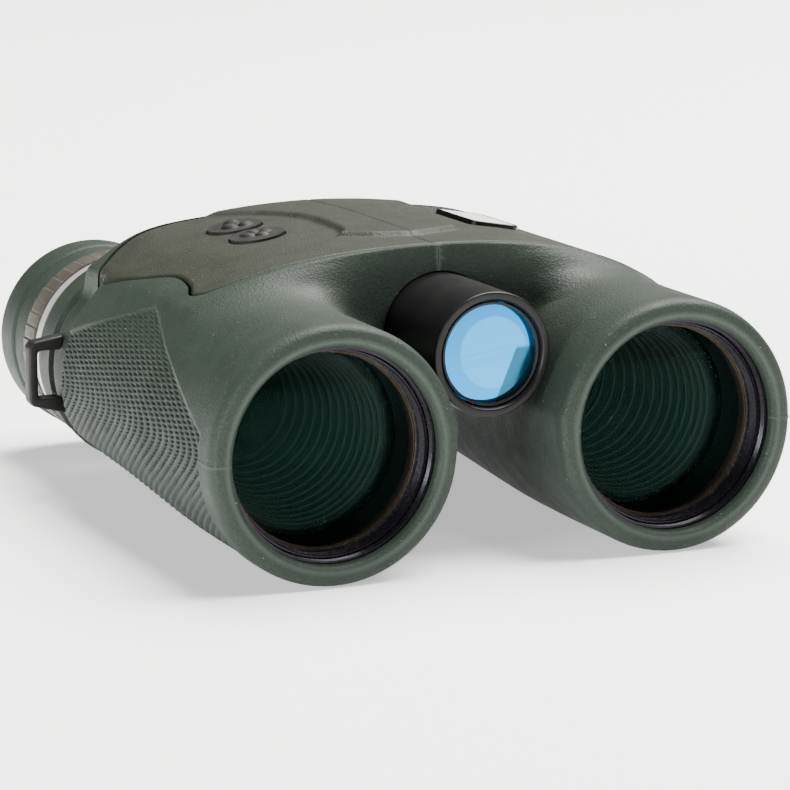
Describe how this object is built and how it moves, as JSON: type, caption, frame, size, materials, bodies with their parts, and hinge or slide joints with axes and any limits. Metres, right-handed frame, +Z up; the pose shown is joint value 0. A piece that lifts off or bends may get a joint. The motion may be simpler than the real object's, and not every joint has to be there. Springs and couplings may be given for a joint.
{
  "type": "rangefinding binocular",
  "caption": "Rubber-armoured roof-prism binocular with a laser tube in its central hinge, top buttons, focus wheel, dioptre rings, twist-up eyecups and strap loops.",
  "frame": {"origin": "on the ground plane under the middle of the object's bounding box, at rest and fully unfolded", "axes": "+Z up, -Y towards the objectives, +Y towards the eyepieces, +X towards the user's left barrel"},
  "size_m": [0.1352, 0.157, 0.0622],
  "materials": {
    "armour": "matte stippled grey-green rubber armour",
    "cover": "matte fine-grained grey-green soft cover",
    "chassis": "black anodised casting",
    "black_metal": "satin black anodised",
    "worn_metal": "grey, worn anodising",
    "silver": "bright turned",
    "ring_bronze": "satin taupe grey",
    "black_plastic": "satin black",
    "button_rubber": "dark brown-black moulded rubber",
    "lens_glass": "green-coated optical glass",
    "laser_glass": "cyan-coated laser window",
    "board": "green circuit board",
    "cell": "sleeved battery",
    "spring_steel": "bright wire",
    "seal_rubber": "matte black"
  },
  "bodies": {
    "right_half": {"right_armour": "armour", "right_top_cover": "cover", "right_chassis": "chassis", "right_lens_ring": "black_metal", "right_objective_cell": "worn_metal", "right_objective_lens": "lens_glass", "right_baffle": "chassis", "right_prism": "lens_glass", "right_prism_cage": "black_plastic", "right_eyepiece_tube": "silver", "right_field_lens": "lens_glass", "right_eye_lens": "lens_glass", "right_strap_lug": "black_plastic", "display_module": "board", "laser_tube": "black_metal", "laser_lens_ring": "black_metal", "laser_lens": "laser_glass", "laser_module": "board", "button_board": "board", "battery": "cell", "battery_spring": "spring_steel"},
    "left_half": {"left_armour": "armour", "left_top_cover": "cover", "left_chassis": "chassis", "left_lens_ring": "black_metal", "left_objective_cell": "worn_metal", "left_objective_lens": "lens_glass", "left_baffle": "chassis", "left_prism": "lens_glass", "left_prism_cage": "black_plastic", "left_eyepiece_tube": "silver", "left_field_lens": "lens_glass", "left_eye_lens": "lens_glass", "left_strap_lug": "black_plastic", "receiver_module": "board", "name_plate": "black_metal"},
    "focus_wheel": {"focus_wheel_hub": "black_metal", "focus_wheel_grip": "ring_bronze"},
    "focus_nut": {"focus_nut": "worn_metal"},
    "battery_cap": {"battery_cap": "black_metal", "battery_cap_seal": "seal_rubber"},
    "menu_button": {"menu_button": "button_rubber"},
    "range_button": {"range_button": "button_rubber"},
    "right_focus_group": {"right_focus_carrier": "black_metal", "right_focus_lens": "lens_glass"},
    "right_dioptre_ring": {"right_dioptre_ring": "ring_bronze"},
    "right_eyecup_collar": {"right_eyecup_collar": "armour"},
    "right_eyecup": {"right_eyecup": "armour"},
    "left_focus_group": {"left_focus_carrier": "black_metal", "left_focus_lens": "lens_glass"},
    "left_dioptre_ring": {"left_dioptre_ring": "ring_bronze"},
    "left_eyecup_collar": {"left_eyecup_collar": "armour"},
    "left_eyecup": {"left_eyecup": "armour"}
  },
  "joints": [
    {"name": "fold", "type": "hinge", "parent": "right_half", "child": "left_half", "pos_m": [0, 0, 0.04276], "axis": [0, 1, 0], "range_deg": [0, 47]},
    {"name": "focus_turn", "type": "hinge", "parent": "right_half", "child": "focus_wheel", "pos_m": [0, 0, 0.04276], "axis": [0, 1, 0], "range_deg": [-180, 180]},
    {"name": "focus_nut_slide", "type": "slide", "parent": "right_half", "child": "focus_nut", "axis": [0, 1, 0], "range_m": [-0.001, 0.001]},
    {"name": "right_focus_slide", "type": "slide", "parent": "right_half", "child": "right_focus_group", "axis": [0, 1, 0], "range_m": [-0.0025, 0.0025]},
    {"name": "right_dioptre_turn", "type": "hinge", "parent": "right_half", "child": "right_dioptre_ring", "pos_m": [-0.03775, 0, 0.0265], "axis": [0, 1, 0], "range_deg": [-40, 40]},
    {"name": "right_eyecup_twist", "type": "hinge", "parent": "right_half", "child": "right_eyecup_collar", "pos_m": [-0.03775, 0, 0.0265], "axis": [0, 1, 0], "range_deg": [0, 120]},
    {"name": "right_eyecup_rise", "type": "slide", "parent": "right_eyecup_collar", "child": "right_eyecup", "axis": [0, 1, 0], "range_m": [0, 0.01]},
    {"name": "left_focus_slide", "type": "slide", "parent": "left_half", "child": "left_focus_group", "axis": [0, 1, 0], "range_m": [-0.0025, 0.0025]},
    {"name": "left_dioptre_turn", "type": "hinge", "parent": "left_half", "child": "left_dioptre_ring", "pos_m": [0.03775, 0, 0.0265], "axis": [0, 1, 0], "range_deg": [-40, 40]},
    {"name": "left_eyecup_twist", "type": "hinge", "parent": "left_half", "child": "left_eyecup_collar", "pos_m": [0.03775, 0, 0.0265], "axis": [0, 1, 0], "range_deg": [0, 120]},
    {"name": "left_eyecup_rise", "type": "slide", "parent": "left_eyecup_collar", "child": "left_eyecup", "axis": [0, 1, 0], "range_m": [0, 0.01]},
    {"name": "menu_button_press", "type": "slide", "parent": "right_half", "child": "menu_button", "axis": [0.1611, 0, -0.9869], "range_m": [0, 0.0006], "stiffness_N_per_m": 1500},
    {"name": "range_button_press", "type": "slide", "parent": "right_half", "child": "range_button", "axis": [0.1611, 0, -0.9869], "range_m": [0, 0.0006], "stiffness_N_per_m": 1500},
    {"name": "battery_cap_turn", "type": "hinge", "parent": "right_half", "child": "battery_cap", "pos_m": [0, 0, 0.04276], "axis": [0, 1, 0], "range_deg": [-90, 0]}
  ],
  "couplings": [
    {"joint": "focus_nut_slide", "follows": "focus_turn", "m_per_rad": 0.0003183},
    {"joint": "right_focus_slide", "follows": "focus_turn", "m_per_rad": 0.0007957},
    {"joint": "right_eyecup_rise", "follows": "right_eyecup_twist", "m_per_rad": 0.0047746},
    {"joint": "left_focus_slide", "follows": "focus_turn", "m_per_rad": 0.0007957},
    {"joint": "left_eyecup_rise", "follows": "left_eyecup_twist", "m_per_rad": 0.0047746}
  ]
}
